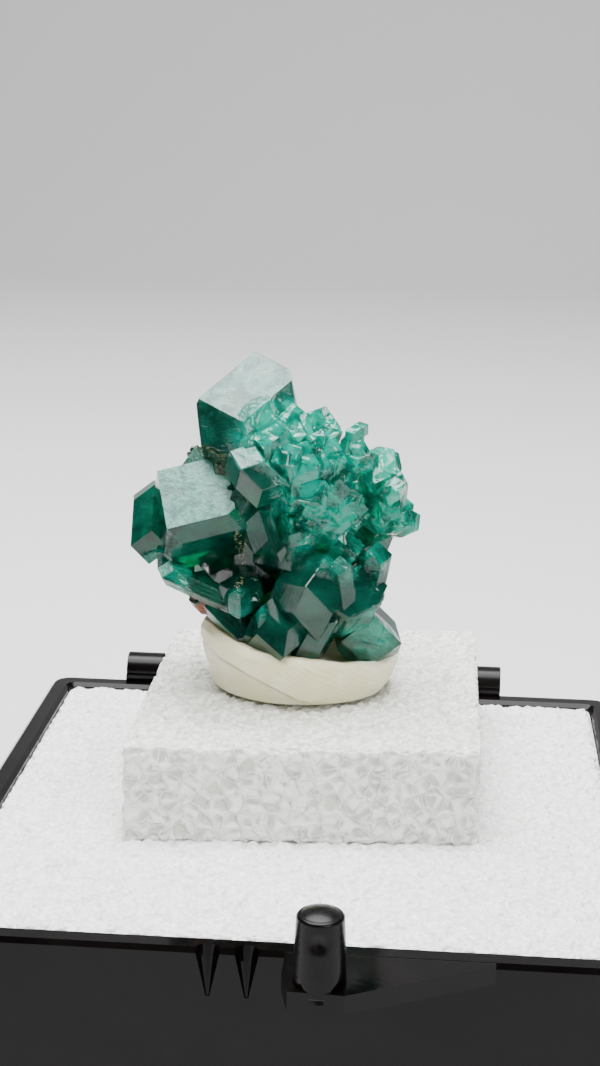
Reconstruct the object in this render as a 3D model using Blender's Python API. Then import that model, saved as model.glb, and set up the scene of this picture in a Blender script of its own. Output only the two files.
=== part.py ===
"""Dioptase on mineral putty and a foam block, in the base of a small display box.

Everything is drawn in millimetres under one empty that scales it to metres. The origin is the middle of
the box's underside, the latch side faces -Y and +Z is up. The crystals, the putty and the foam block are
placed from the middle of the box's rim plane.
"""
import math
import random
from typing import NamedTuple

import bmesh
import bpy
from mathutils import Euler, Matrix, Vector

MILLIMETRE = 0.001

# Box base
BASE_WIDTH = 31.5
BASE_HEIGHT = 9.5
WALL = 1.1
CORNER_RADIUS = 1.0
INNER_CORNER_RADIUS = 0.35
RIM_BEVEL = 0.2
LEDGE_THICKNESS = 0.85
LEDGE_BELOW_RIM = 0.02
LEDGE_OUTLINE = ((8.9, -15.4), (8.9, -15.8), (3.0, -18.85), (0.75, -18.75), (0.4, -17.3), (0.4, -15.4))
KNOB_CENTRE = (1.95, -17.75)
KNOB_BASE_RADIUS = 1.1
KNOB_TOP_RADIUS = 0.94
KNOB_HEIGHT = 2.75
KNOB_DOME = 0.4
KNOB_ROOT = 0.5
KNOB_SEGMENTS = 24
DIMPLE_HEIGHT = 2.1
DIMPLE_RADIUS = 0.25
DIMPLE_DEPTH = 0.2
FLUTE_CENTRES = (-2.75, -1.15)
FLUTE_RADIUS = 0.55
FLUTE_TIP_RADIUS = 0.08
FLUTE_HEIGHT = 2.1
BARREL_RADIUS = 0.95
BARREL_Y = 16.6
BARREL_Z = 0.35
BARREL_SPANS = ((-11.6, -9.2), (7.2, 9.65))
WEB_THICKNESS = 0.9
WEB_INSET = 0.02
WEB_ROOT = 0.4
WEB_REACH = 0.2

# Foam and putty
CONTACT_GAP = 0.05
BED_EDGE = 0.35
BED_CORNER_RADIUS = 0.3
BLOCK_BASE = ((-8.1, -5.65), (8.3, -4.3), (8.2, 13.9), (-8.3, 12.2))
BLOCK_TOP = ((-8.15, -5.35), (8.25, -4.1), (8.1, 13.7), (-8.2, 12.0))
BLOCK_HEIGHT = 4.5
BLOCK_EDGE = 0.3
PUTTY_CENTRE = (-0.8, 4.0)
PUTTY_RADII = (4.95, 4.15)
PUTTY_LIP = 2.85
PUTTY_LIP_TILT = 0.6
PUTTY_LIP_HIGH_SIDE = 140.0
PUTTY_FLOOR = 1.6
PUTTY_SPOKES = 32
PUTTY_RINGS = ((0.90, 0.0), (0.97, 0.12), (1.0, 0.4), (0.98, 0.72), (0.92, 0.93), (0.82, 1.0))

# Dioptase angles: six prism faces round the long axis and three rhomb faces on each end
RHOMB_TO_AXIS = 51.0
FIRST_PRISM_FACE = 30.0
BLANK = 40.0


class Crystal(NamedTuple):
    """tip: where the upper rhomb faces meet. lean and heading tip the long axis from +Z, turn rolls it.
    side: edge of the hexagon. length: from tip to tip. faces: prism faces set in or out, as factors."""

    tip: tuple
    lean: float
    heading: float
    turn: float
    side: float
    length: float
    faces: dict = {}


LEFT_GROUP = (
    Crystal((-3.13, 3.8, 21.18), 17, 122.6, 29.9, 2.55, 8.5, {0: 1.34, 1: 1.26, 2: 0.91, 3: 0.77, 4: 1.1}),
    Crystal((-7.4, 0.85, 15.85), 44, 200, 115, 2.68, 6.0, {0: 1.05}),
    Crystal((-3.05, 0.45, 14.9), 20, 220, 22, 0.85, 3.2),
    Crystal((-5.8, 2.8, 16.7), 22, 178, 86, 1.7, 5.0),
    Crystal((-4.0, 2.25, 17.25), 6, 32, 87, 1.0, 4.0),
    Crystal((-3.85, -0.35, 17.2), 45, 198, 18, 1.1, 3.5),
    Crystal((-2.0, 0.55, 17.25), 26, 356, 47, 0.8, 4.0),
    Crystal((-8.0, 2.05, 10.9), 145, 273, 52, 1.1, 4.4),
    Crystal((-7.5, 1.55, 11.65), 66, 240, 52, 0.8, 3.0),
    Crystal((-5.05, 1.25, 11.65), 93, 260, 55, 1.3, 4.0),
    Crystal((-7.4, 0.85, 11.1), 65, 184, 11, 0.6, 5.0),
    Crystal((-6.2, 2.25, 10.45), 50, 163, 17, 0.75, 5.0),
    Crystal((-3.3, -0.15, 10.25), 69, 278, 60, 1.15, 4.0),
)
LOWER_GROUP = (
    Crystal((-1.05, 0.85, 13.8), 51, 272, 63, 2.2, 7.0),
    Crystal((0.8, 0.55, 12.2), 26, 329, 105, 1.8, 5.0, {0: 0.75}),
    Crystal((3.6, 2.05, 10.35), 64, 13, 99, 1.3, 4.0),
    Crystal((2.3, 1.65, 11.4), 28, 7, 48, 0.9, 4.0),
    Crystal((3.05, 2.65, 12.35), 14, 44, 14, 0.8, 4.0),
    Crystal((1.3, 0.85, 12.05), 10, 209, 50, 0.65, 3.0),
    Crystal((1.35, 1.45, 9.85), 44, 291, 6, 0.9, 3.0),
    Crystal((1.0, 1.15, 9.75), 27, 355, 16, 1.0, 4.0),
    Crystal((-2.8, 0.65, 8.85), 33, 248, 42, 0.8, 3.0),
    Crystal((-1.35, 1.25, 10.2), 12, 53, 0, 1.45, 4.0),
    Crystal((-0.55, 0.85, 10.15), 18, 352, 69, 0.8, 3.5),
    Crystal((3.0, 1.6, 8.85), 45, 286, 115, 1.72, 4.2),
)
RIGHT_GROUP = (
    Crystal((3.15, 1.65, 14.25), 136, 277, 21, 1.1, 3.4),
    Crystal((3.7, 2.85, 16.2), 11, 66, 62, 0.8, 3.5),
    Crystal((4.65, 2.75, 12.75), 122, 340, 107, 1.2, 4.0),
    Crystal((1.25, 0.85, 15.8), 41, 301, 113, 1.9, 5.0),
    Crystal((1.85, 2.25, 17.9), 17, 38, 33, 0.55, 3.5),
    Crystal((0.45, 2.05, 19.0), 20, 12, 5, 1.3, 6.0),
    Crystal((-2.15, 0.85, 18.95), 11, 237, 20, 1.2, 3.2),
    Crystal((-0.35, 0.45, 17.65), 22, 288, 86, 1.2, 4.0),
    Crystal((1.55, 1.25, 12.45), 122, 297, 59, 1.7, 4.0),
    Crystal((-1.05, 1.65, 19.2), 5, 340, 73, 1.3, 5.0),
    Crystal((1.0, 1.25, 17.75), 30, 356, 53, 1.1, 4.0),
    Crystal((-1.55, 0.25, 17.65), 25, 226, 63, 0.9, 3.0),
    Crystal((-0.45, 0.15, 15.9), 42, 224, 65, 0.9, 3.5),
    Crystal((2.15, 1.45, 11.9), 90, 314, 44, 1.0, 4.0),
)
BACK_GROUP = (
    Crystal((-6.0, 8.4, 15.2), 60, 110, 20, 1.9, 6.0),
    Crystal((-1.6, 9.8, 13.2), 78, 92, 50, 2.1, 7.0),
    Crystal((2.2, 8.6, 15.6), 55, 60, 10, 1.6, 6.0),
    Crystal((3.6, 7.6, 11.2), 85, 35, 75, 1.5, 5.0),
    Crystal((-7.8, 6.6, 10.8), 95, 155, 30, 1.5, 5.0),
    Crystal((-4.4, 9.2, 9.2), 100, 115, 65, 1.4, 5.0),
    Crystal((0.6, 9.3, 8.8), 100, 75, 15, 1.5, 5.0),
    Crystal((-3.2, 8.2, 17.8), 35, 100, 85, 1.4, 6.0),
    Crystal((0.1, 7.0, 18.0), 25, 60, 35, 1.2, 5.0),
    Crystal((3.6, 5.6, 14.0), 70, 10, 55, 1.2, 4.0),
    Crystal((-2.0, 7.6, 6.2), 140, 90, 25, 1.3, 5.0),
    Crystal((-7.6, 5.0, 14.2), 65, 175, 70, 1.3, 5.0),
)
MIDDLE_GROUP = (
    Crystal((-2.2, 5.2, 17.0), 5, 0, 10, 3.3, 10.5),
    Crystal((2.2, 5.4, 14.2), 20, 0, 40, 2.3, 8.0),
    Crystal((-5.6, 5.0, 14.5), 25, 180, 40, 2.4, 8.0),
)
MATRIX_CENTRE = (-5.5, 2.2, 9.1)
MATRIX_RADII = (0.75, 0.6, 0.8)
MATRIX_ROUGHNESS = 0.12


def clear_scene():
    for item in list(bpy.data.objects):
        bpy.data.objects.remove(item, do_unlink=True)


def material(name, colour, roughness, metallic=0.0):
    made = bpy.data.materials.new(name)
    made.use_nodes = True
    shader = made.node_tree.nodes["Principled BSDF"]
    shader.inputs["Base Color"].default_value = (*colour, 1.0)
    shader.inputs["Roughness"].default_value = roughness
    shader.inputs["Metallic"].default_value = metallic
    return made


def add_object(name, bm, stand, finish=None, offset=(0.0, 0.0, 0.0)):
    mesh = bpy.data.meshes.new(name)
    bmesh.ops.recalc_face_normals(bm, faces=bm.faces)
    bm.to_mesh(mesh)
    bm.free()
    made = bpy.data.objects.new(name, mesh)
    made.location = offset
    made.parent = stand
    bpy.context.scene.collection.objects.link(made)
    if finish:
        mesh.materials.append(finish)
    return made


def as_guide(made):
    made.hide_render = True
    made.display_type = "WIRE"
    return made


def boolean(target, operation, cutter, solver="EXACT"):
    step = target.modifiers.new(operation.title() + " " + cutter.name, "BOOLEAN")
    step.operation = operation
    step.solver = solver
    if isinstance(cutter, bpy.types.Collection):
        step.operand_type = "COLLECTION"
        step.collection = cutter
    else:
        step.object = cutter


def bevel(target, width, segments=2):
    step = target.modifiers.new("Soft edge", "BEVEL")
    step.width = width
    step.segments = segments
    step.limit_method = "ANGLE"
    step.angle_limit = math.radians(40)


def prism(bm, outline, bottom, top):
    """Closed prism over a flat outline, from one height to another."""
    ring = [bm.verts.new((x, y, bottom)) for x, y in outline]
    face = bm.faces.new(ring)
    lifted = bmesh.ops.extrude_face_region(bm, geom=[face])
    corners = [part for part in lifted["geom"] if isinstance(part, bmesh.types.BMVert)]
    bmesh.ops.translate(bm, verts=corners, vec=(0, 0, top - bottom))
    return bm


def rounded_square(half, radius, steps=4):
    """Outline of a square with its corners turned on arcs."""
    outline = []
    for corner, (sign_x, sign_y) in enumerate(((1, 1), (-1, 1), (-1, -1), (1, -1))):
        for step in range(steps + 1):
            angle = math.radians(90 * corner + 90 * step / steps)
            outline.append((sign_x * (half - radius) + radius * math.cos(angle),
                            sign_y * (half - radius) + radius * math.sin(angle)))
    return outline


def cone(bm, radius_bottom, radius_top, depth, matrix, segments=24):
    bmesh.ops.create_cone(bm, cap_ends=True, segments=segments, radius1=radius_bottom,
                          radius2=radius_top, depth=depth, matrix=matrix)
    return bm


def crystal_faces(crystal, grow):
    """Outward normal and plane distance of each face, moved out by grow."""
    axes = (Euler((0, 0, math.radians(crystal.heading))).to_matrix()
            @ Euler((0, math.radians(crystal.lean), 0)).to_matrix()
            @ Euler((0, 0, math.radians(crystal.turn))).to_matrix())
    tip = Vector(crystal.tip)
    foot = tip - axes @ Vector((0, 0, crystal.length))
    half_width = crystal.side * math.cos(math.radians(30))
    for number in range(6):
        round_axis = math.radians(FIRST_PRISM_FACE + 60 * number)
        normal = axes @ Vector((math.cos(round_axis), math.sin(round_axis), 0))
        yield normal, normal.dot(tip) + half_width * crystal.faces.get(number, 1.0) + grow
    slope = math.radians(RHOMB_TO_AXIS)
    for number in range(3):
        for end, up in ((tip, 1), (foot, -1)):
            round_axis = math.radians(120 * number + (0 if up > 0 else 180))
            normal = axes @ Vector((math.sin(slope) * math.cos(round_axis),
                                    math.sin(slope) * math.sin(round_axis), up * math.cos(slope)))
            yield normal, normal.dot(end) + grow


def cleave(bm, normal, distance):
    """Cut the blank along one face plane and close the cut."""
    everything = bm.verts[:] + bm.edges[:] + bm.faces[:]
    cut = bmesh.ops.bisect_plane(bm, geom=everything, plane_co=normal * distance, plane_no=normal,
                                 clear_outer=True)
    edges = [part for part in cut["geom_cut"] if isinstance(part, bmesh.types.BMEdge)]
    if edges:
        bmesh.ops.contextual_create(bm, geom=edges)


def crystal_object(name, crystal, stand, grow=0.0):
    bm = bmesh.new()
    bmesh.ops.create_cube(bm, size=BLANK, matrix=Matrix.Translation(crystal.tip))
    for normal, distance in crystal_faces(crystal, grow):
        cleave(bm, normal, distance)
    return add_object(name, bm, stand, offset=(0, 0, BASE_HEIGHT))


def matrix_lump(name, stand, grow=0.0):
    """The rough bump of host rock that shows under the left crystals."""
    rough = random.Random(5)
    bm = bmesh.new()
    bmesh.ops.create_icosphere(bm, subdivisions=2, radius=1.0)
    for corner in bm.verts:
        swell = 1.0 + rough.uniform(-MATRIX_ROUGHNESS, MATRIX_ROUGHNESS)
        corner.co = Vector(MATRIX_CENTRE) + Vector(
            [(radius + grow) * swell * part for radius, part in zip(MATRIX_RADII, corner.co)])
    return add_object(name, bm, stand, offset=(0, 0, BASE_HEIGHT))


def grown_together(name, stand, finish, grow=0.0):
    """All the crystals and the bump of host rock, joined in one solid.

    Every operand is closed, and the exact solver leaves open edges where so many crystals cross, so this
    union and the cut from it use the manifold solver.
    """
    first, *others = LEFT_GROUP + LOWER_GROUP + RIGHT_GROUP + BACK_GROUP + MIDDLE_GROUP
    members = bpy.data.collections.new(name + " members")
    bpy.context.scene.collection.children.link(members)
    for number, crystal in enumerate(others, start=2):
        guide = as_guide(crystal_object(f"{name} crystal {number}", crystal, stand, grow))
        bpy.context.scene.collection.objects.unlink(guide)
        members.objects.link(guide)
    lump = as_guide(matrix_lump(name + " host rock", stand, grow))
    bpy.context.scene.collection.objects.unlink(lump)
    members.objects.link(lump)
    cluster = crystal_object(name, first, stand, grow)
    cluster.data.materials.append(finish)
    boolean(cluster, "UNION", members, "MANIFOLD")
    return cluster


def mineral_tack(stand, finish, cluster_room):
    """A pressed lump of putty: rings round a leaning lip, dished on top where the cluster sits."""
    bm = bmesh.new()
    foot = BLOCK_HEIGHT + CONTACT_GAP
    loops = []
    for spread, rise in PUTTY_RINGS:
        loop = []
        for spoke in range(PUTTY_SPOKES):
            angle = 2 * math.pi * spoke / PUTTY_SPOKES
            lip = PUTTY_LIP + PUTTY_LIP_TILT * math.cos(angle - math.radians(PUTTY_LIP_HIGH_SIDE))
            loop.append(bm.verts.new((PUTTY_CENTRE[0] + PUTTY_RADII[0] * spread * math.cos(angle),
                                      PUTTY_CENTRE[1] + PUTTY_RADII[1] * spread * math.sin(angle),
                                      foot + lip * rise)))
        loops.append(loop)
    for lower, upper in zip(loops, loops[1:]):
        for spoke in range(PUTTY_SPOKES):
            after = (spoke + 1) % PUTTY_SPOKES
            bm.faces.new((lower[spoke], lower[after], upper[after], upper[spoke]))
    bm.faces.new(loops[0])
    dish = bm.verts.new((*PUTTY_CENTRE, foot + PUTTY_FLOOR))
    for spoke in range(PUTTY_SPOKES):
        bm.faces.new((loops[-1][spoke], loops[-1][(spoke + 1) % PUTTY_SPOKES], dish))
    tack = add_object("mineral_tack", bm, stand, finish, offset=(0, 0, BASE_HEIGHT))
    boolean(tack, "DIFFERENCE", cluster_room, "MANIFOLD")
    return tack


def foam_block(stand, finish):
    """The hand-cut block, a little out of square."""
    bm = bmesh.new()
    low = [bm.verts.new((x, y, CONTACT_GAP)) for x, y in BLOCK_BASE]
    high = [bm.verts.new((x, y, BLOCK_HEIGHT)) for x, y in BLOCK_TOP]
    bm.faces.new(low)
    bm.faces.new(high)
    for corner in range(4):
        after = (corner + 1) % 4
        bm.faces.new((low[corner], low[after], high[after], high[corner]))
    block = add_object("foam_block", bm, stand, finish, offset=(0, 0, BASE_HEIGHT))
    bevel(block, BLOCK_EDGE)
    return block


def foam_bed(stand, finish):
    half = BASE_WIDTH / 2 - WALL - CONTACT_GAP
    bm = prism(bmesh.new(), rounded_square(half, BED_CORNER_RADIUS, 2), WALL + CONTACT_GAP, BASE_HEIGHT)
    bed = add_object("foam_bed", bm, stand, finish)
    bevel(bed, BED_EDGE)
    return bed


def latch(stand):
    """Ledge on the front wall with its knob standing up from it."""
    bm = prism(bmesh.new(), LEDGE_OUTLINE, BASE_HEIGHT - LEDGE_THICKNESS, BASE_HEIGHT - LEDGE_BELOW_RIM)
    ledge = as_guide(add_object("latch ledge", bm, stand))
    profile = [(KNOB_BASE_RADIUS, -KNOB_ROOT), (KNOB_TOP_RADIUS, KNOB_HEIGHT)]
    for step in range(1, 5):
        angle = math.radians(90 * step / 5)
        profile.append((KNOB_TOP_RADIUS * math.cos(angle), KNOB_HEIGHT + KNOB_DOME * math.sin(angle)))
    bm = bmesh.new()
    turns = [2 * math.pi * step / KNOB_SEGMENTS for step in range(KNOB_SEGMENTS)]
    centre_x, centre_y = KNOB_CENTRE
    loops = [[bm.verts.new((centre_x + radius * math.cos(turn), centre_y + radius * math.sin(turn),
                            BASE_HEIGHT + height)) for turn in turns] for radius, height in profile]
    for lower, upper in zip(loops, loops[1:]):
        for step in range(KNOB_SEGMENTS):
            after = (step + 1) % KNOB_SEGMENTS
            bm.faces.new((lower[step], lower[after], upper[after], upper[step]))
    bm.faces.new(loops[0])
    bm.faces.new(loops[-1])
    knob = as_guide(add_object("latch knob", bm, stand))
    place = (Matrix.Translation((centre_x, centre_y - KNOB_TOP_RADIUS, BASE_HEIGHT + DIMPLE_HEIGHT))
             @ Euler((math.pi / 2, 0, 0)).to_matrix().to_4x4())
    dimple = cone(bmesh.new(), DIMPLE_RADIUS, DIMPLE_RADIUS, 2 * DIMPLE_DEPTH, place, 12)
    boolean(knob, "DIFFERENCE", as_guide(add_object("latch dimple", dimple, stand)))
    return ledge, knob


def box_base(stand, finish):
    half = BASE_WIDTH / 2
    shell = add_object("box_base", prism(bmesh.new(), rounded_square(half, CORNER_RADIUS), 0, BASE_HEIGHT),
                       stand, finish)
    room = prism(bmesh.new(), rounded_square(half - WALL, INNER_CORNER_RADIUS, 2), WALL, 2 * BASE_HEIGHT)
    boolean(shell, "DIFFERENCE", as_guide(add_object("room for foam", room, stand)))
    bevel(shell, RIM_BEVEL, 1)
    for piece in latch(stand):
        boolean(shell, "UNION", piece)
    for number, (start, end) in enumerate(BARREL_SPANS, start=1):
        place = (Matrix.Translation(((start + end) / 2, BARREL_Y, BASE_HEIGHT + BARREL_Z))
                 @ Euler((0, math.pi / 2, 0)).to_matrix().to_4x4())
        barrel = cone(bmesh.new(), BARREL_RADIUS, BARREL_RADIUS, end - start, place)
        boolean(shell, "UNION", as_guide(add_object(f"hinge barrel {number}", barrel, stand)))
        left, right = start + WEB_INSET, end - WEB_INSET
        root, reach = half - WEB_ROOT, BARREL_Y + WEB_REACH
        web = prism(bmesh.new(), ((left, root), (right, root), (right, reach), (left, reach)),
                    BASE_HEIGHT + BARREL_Z - WEB_THICKNESS, BASE_HEIGHT + BARREL_Z)
        boolean(shell, "UNION", as_guide(add_object(f"hinge web {number}", web, stand)))
    for number, centre in enumerate(FLUTE_CENTRES, start=1):
        place = Matrix.Translation((centre, -half, BASE_HEIGHT - FLUTE_HEIGHT / 2 + 0.05))
        flute = cone(bmesh.new(), FLUTE_TIP_RADIUS, FLUTE_RADIUS, FLUTE_HEIGHT + 0.1, place, 16)
        boolean(shell, "DIFFERENCE", as_guide(add_object(f"flute {number}", flute, stand)))
    return shell


def main():
    clear_scene()
    stand = bpy.data.objects.new("stand", None)
    bpy.context.scene.collection.objects.link(stand)
    stand.scale = (MILLIMETRE, MILLIMETRE, MILLIMETRE)

    crystal_green = material("dioptase", (0.01, 0.22, 0.15), 0.12)
    grown_together("dioptase_cluster", stand, crystal_green)
    cluster_room = as_guide(grown_together("room for cluster", stand, crystal_green, CONTACT_GAP))
    mineral_tack(stand, material("mineral tack", (0.74, 0.70, 0.56), 0.55), cluster_room)
    foam_block(stand, material("white foam block", (0.80, 0.80, 0.77), 0.8))
    foam_bed(stand, material("white foam bed", (0.86, 0.86, 0.84), 0.9))
    box_base(stand, material("black plastic", (0.012, 0.01, 0.011), 0.08))


main()
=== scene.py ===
"""Dioptase crystals on mineral putty and foam, in the black base of a small display box.

Lengths are millimetres from the middle of the box's underside, and the latch side faces -Y. A mesh is
scaled to metres when it is put into Blender. A texture's scale is per metre on object coordinates and per
millimetre on the growth map, and a bump's distance is in metres.
"""
import itertools
from typing import NamedTuple

import bmesh
import bpy
import numpy as np
from mathutils import Matrix, Vector


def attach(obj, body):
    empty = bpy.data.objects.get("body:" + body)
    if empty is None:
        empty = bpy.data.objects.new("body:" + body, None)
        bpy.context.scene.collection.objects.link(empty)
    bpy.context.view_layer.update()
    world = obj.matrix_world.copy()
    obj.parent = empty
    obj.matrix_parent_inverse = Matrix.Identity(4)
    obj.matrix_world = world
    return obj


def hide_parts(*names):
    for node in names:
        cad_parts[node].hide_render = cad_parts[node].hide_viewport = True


MM = 0.001
# Height of the base's rim. Heights of crystals, of regions in the crystal and of the putty's lip start here.
RIM = 9.5

# Camera and light
CAMERA_PLACE = (6.189, -83.105, 36.014 + RIM)
CAMERA_ELEVATION = 15.232
CAMERA_YAW = 4.617
CAMERA_ROLL = 0.893
CAMERA_LENS = 62.476
CAMERA_SENSOR = 36.0

# Foam
BLOCK_BASE = ((-8.1, -5.65), (8.3, -4.3), (8.2, 13.9), (-8.3, 12.2))
BLOCK_TOP = ((-8.15, -5.35), (8.25, -4.1), (8.1, 13.7), (-8.2, 12.0))
BLOCK_HEIGHTS = (RIM - 0.25, RIM + 4.5)
BLOCK_EDGE = 0.24
BLOCK_SPACING = 0.115
BED_HALF = 14.6
BED_HEIGHTS = (1.15, RIM)
BED_EDGE = 0.4
BED_SPACING = 0.15

# Putty. Its wall is drawn from the middle of the foot, over the lip, to the middle of the dish.
PUTTY_CENTRE = (-0.8, 4.0)
PUTTY_RADII = (4.95, 4.15)
PUTTY_FOOT = RIM + 4.52
PUTTY_DISH = RIM + 6.1
LIP_ANGLES = (-147.0, -115.0, -85.0, -57.0, -30.0, -11.0, 6.0, 60.0, 120.0, 180.0)
LIP_HEIGHTS = (8.1, 7.4, 7.15, 6.75, 6.5, 7.0, 6.8, 7.3, 7.8, 8.0)
WALL_SHARES = (0.0, 0.12, 0.16, 0.24, 0.4, 0.55, 0.64, 0.7, 0.78, 1.0)
WALL_SPREAD = (0.0, 0.82, 0.875, 0.93, 1.0, 1.0, 0.95, 0.86, 0.7, 0.0)
WALL_RISE = (0.0, 0.0, 0.05, 0.2, 0.55, 0.88, 1.0, 0.98, 0.8, 0.8)
FOLD_ANGLES = (-170.0, -150.0, -125.0, -105.0, -85.0, -70.0)
FOLD_HEIGHTS = (2.6, 2.35, 1.9, 1.2, 0.35, 0.0)
FOLD_DEPTH = 0.2
RIDGE_HEIGHT = 0.03
RIDGE_SPACING = 0.3

# Latch knob, with heights from the rim. The solid's own knob is drawn in, so that it stays inside this one.
KNOB_CENTRE = (1.95, -17.75)
KNOB_RADIUS = 0.96
KNOB_FOOT_RADIUS = 1.1
KNOB_ROOT = -0.3
KNOB_SIDE = 2.72
KNOB_SHOULDER = 0.16
KNOB_DOME = 0.2
DENT_HEIGHT = 2.0
DENT_WIDTH = 0.3
DENT_DEPTH = 0.2
SCAR_HEIGHT = 1.25
SCAR_REACH = 0.45
SCAR_WIDTH_SQUARED = 0.02
SCAR_DEPTH = 0.03
CORE_REACH = 1.3
CORE_ABOVE = 0.05
CORE_SHRINK = 0.4
CORE_LOWERED = 0.8

# Dioptase: six prism faces round the long axis and three rhomb faces on each end
RHOMB_TO_AXIS = 51.0
FIRST_PRISM_FACE = 30.0
HABIT_FACES = 12
PRISM_FACE, RHOMB_FACE, WORN_EDGE = 0, 1, 2
MATRIX_CENTRE = (-5.3, 1.75, 9.4)
MATRIX_RADII = (0.6, 0.5, 0.7)
MATRIX_PLANES = 30

# Wear: width of the narrow plane on an edge, and the side above which a crystal has one or two growth steps
FINE_EDGE = 0.05
BROAD_EDGE = 0.08
STEPPED_SIDES = (0.8, 1.5)

# Regions of the crystal's colour: centre, radii, and how bright the turquoise is
BRIGHT_REGIONS = (
    ((1.5, 1.4, 15.3), (3.7, 3.4, 4.3), 1.0),
    ((3.9, 2.4, 13.4), (2.0, 2.6, 2.4), 1.0),
    ((-1.3, 1.2, 17.6), (2.6, 2.6, 1.9), 1.0),
    ((3.3, 0.9, 8.1), (1.9, 1.6, 1.5), 0.75),
    ((-7.6, 1.0, 10.2), (1.9, 2.0, 1.5), 0.45),
    ((-3.3, -0.3, 9.5), (1.2, 1.0, 1.1), 0.55),
)
# Region of dark olive colour whose bright specks are painted glints
OLIVE_REGION = ((-5.2, 1.9, 16.25), (3.0, 2.5, 1.0))
SPECK_REGION = ((-3.45, 0.0, 11.8), (0.3, 3.0, 1.7))


class Crystal(NamedTuple):
    """tip: where the upper rhomb faces meet, from the rim plane. lean and heading tip the long axis from +Z,
    turn rolls it. side: edge of the hexagon. length: from tip to tip. faces: prism faces set in or out.
    The etch and sheen share: 0 for a glassy crystal, 1 for an etched one whose upward faces are painted pale,
    partly as etching and partly as painted sheen of the overhead light. trims: extra faces, outward direction
    and distance."""

    tip: tuple
    lean: float
    heading: float
    turn: float
    side: float
    length: float
    faces: dict = {}
    frost_and_sheen: float = 0.0
    trims: tuple = ()


LEFT_GROUP = (
    Crystal((-3.13, 3.8, 21.18), 17, 122.6, 29.9, 2.55, 8.5,
            {0: 1.34, 1: 1.26, 2: 0.91, 3: 0.77, 4: 1.1}, 0.8),
    Crystal((-7.4, 0.85, 15.85), 44, 200, 115, 2.68, 6.0, {0: 1.05}, 1.0, ((0.52, -0.831, 0.198, 1.16),)),
    Crystal((-3.05, 0.45, 14.9), 20, 220, 22, 0.85, 3.2),
    Crystal((-5.8, 2.45, 16.75), 22, 178, 86, 1.7, 5.0, {}, 0.6),
    Crystal((-4.0, 1.9, 17.3), 6, 32, 87, 1.0, 4.0, {}, 0.5),
    Crystal((-3.85, -0.35, 17.2), 45, 198, 18, 1.1, 3.5, {}, 0.8),
    Crystal((-2.0, 0.55, 17.25), 26, 356, 47, 0.8, 4.0),
    Crystal((-8.0, 2.05, 10.9), 145, 273, 52, 1.1, 4.4),
    Crystal((-7.5, 1.55, 11.65), 66, 240, 52, 0.8, 3.0),
    Crystal((-5.05, 1.25, 11.65), 93, 260, 55, 1.3, 4.0, {}, 0.2),
    Crystal((-7.4, 0.85, 11.1), 65, 184, 11, 0.6, 5.0, {}, 0.6),
    Crystal((-6.2, 2.25, 10.45), 50, 163, 17, 0.75, 5.0),
    Crystal((-3.3, -0.15, 10.25), 69, 278, 60, 1.15, 4.0),
)
LOWER_GROUP = (
    Crystal((-1.05, 0.85, 13.8), 51, 272, 63, 2.2, 7.0),
    Crystal((0.8, 0.55, 12.2), 26, 329, 105, 1.8, 5.0, {0: 0.75}),
    Crystal((3.6, 2.05, 10.35), 64, 13, 99, 1.3, 4.0),
    Crystal((2.3, 1.65, 11.4), 28, 7, 48, 0.9, 4.0),
    Crystal((3.05, 2.65, 12.35), 14, 44, 14, 0.8, 4.0),
    Crystal((1.3, 0.85, 12.05), 10, 209, 50, 0.65, 3.0, {}, 0.7),
    Crystal((1.35, 1.45, 9.85), 44, 291, 6, 0.9, 3.0),
    Crystal((1.0, 1.15, 9.75), 27, 355, 16, 1.0, 4.0),
    Crystal((-2.8, 0.65, 8.85), 33, 248, 42, 0.8, 3.0, {}, 0.1),
    Crystal((-1.35, 1.25, 10.2), 12, 53, 0, 1.45, 4.0),
    Crystal((-0.55, 0.85, 10.15), 18, 352, 69, 0.8, 3.5, {}, 0.15),
    Crystal((3.0, 1.6, 8.85), 45, 286, 115, 1.72, 4.2),
)
RIGHT_GROUP = (
    Crystal((3.15, 1.65, 14.25), 136, 277, 21, 1.1, 3.4, {}, 0.5),
    Crystal((3.7, 2.85, 16.2), 11, 66, 62, 0.8, 3.5),
    Crystal((4.65, 2.75, 12.75), 122, 340, 107, 1.2, 4.0),
    Crystal((1.25, 0.85, 15.8), 41, 301, 113, 1.9, 5.0),
    Crystal((1.85, 2.25, 17.9), 17, 38, 33, 0.55, 3.5, {}, 0.8),
    Crystal((0.45, 2.05, 19.0), 20, 12, 25, 1.3, 6.0),
    Crystal((-2.15, 0.85, 18.95), 11, 237, 20, 1.2, 3.2),
    Crystal((-0.35, 0.45, 17.65), 22, 288, 86, 1.2, 4.0),
    Crystal((1.55, 1.25, 12.45), 122, 297, 59, 1.7, 4.0),
    Crystal((-1.05, 1.65, 19.2), 5, 340, 73, 1.3, 5.0),
    Crystal((1.0, 1.25, 17.75), 30, 356, 53, 1.1, 4.0),
    Crystal((-1.55, 0.25, 17.65), 25, 226, 63, 0.9, 3.0),
    Crystal((-0.45, 0.15, 15.9), 42, 224, 65, 0.9, 3.5),
    Crystal((2.15, 1.45, 11.9), 90, 314, 44, 1.0, 4.0),
)
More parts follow.
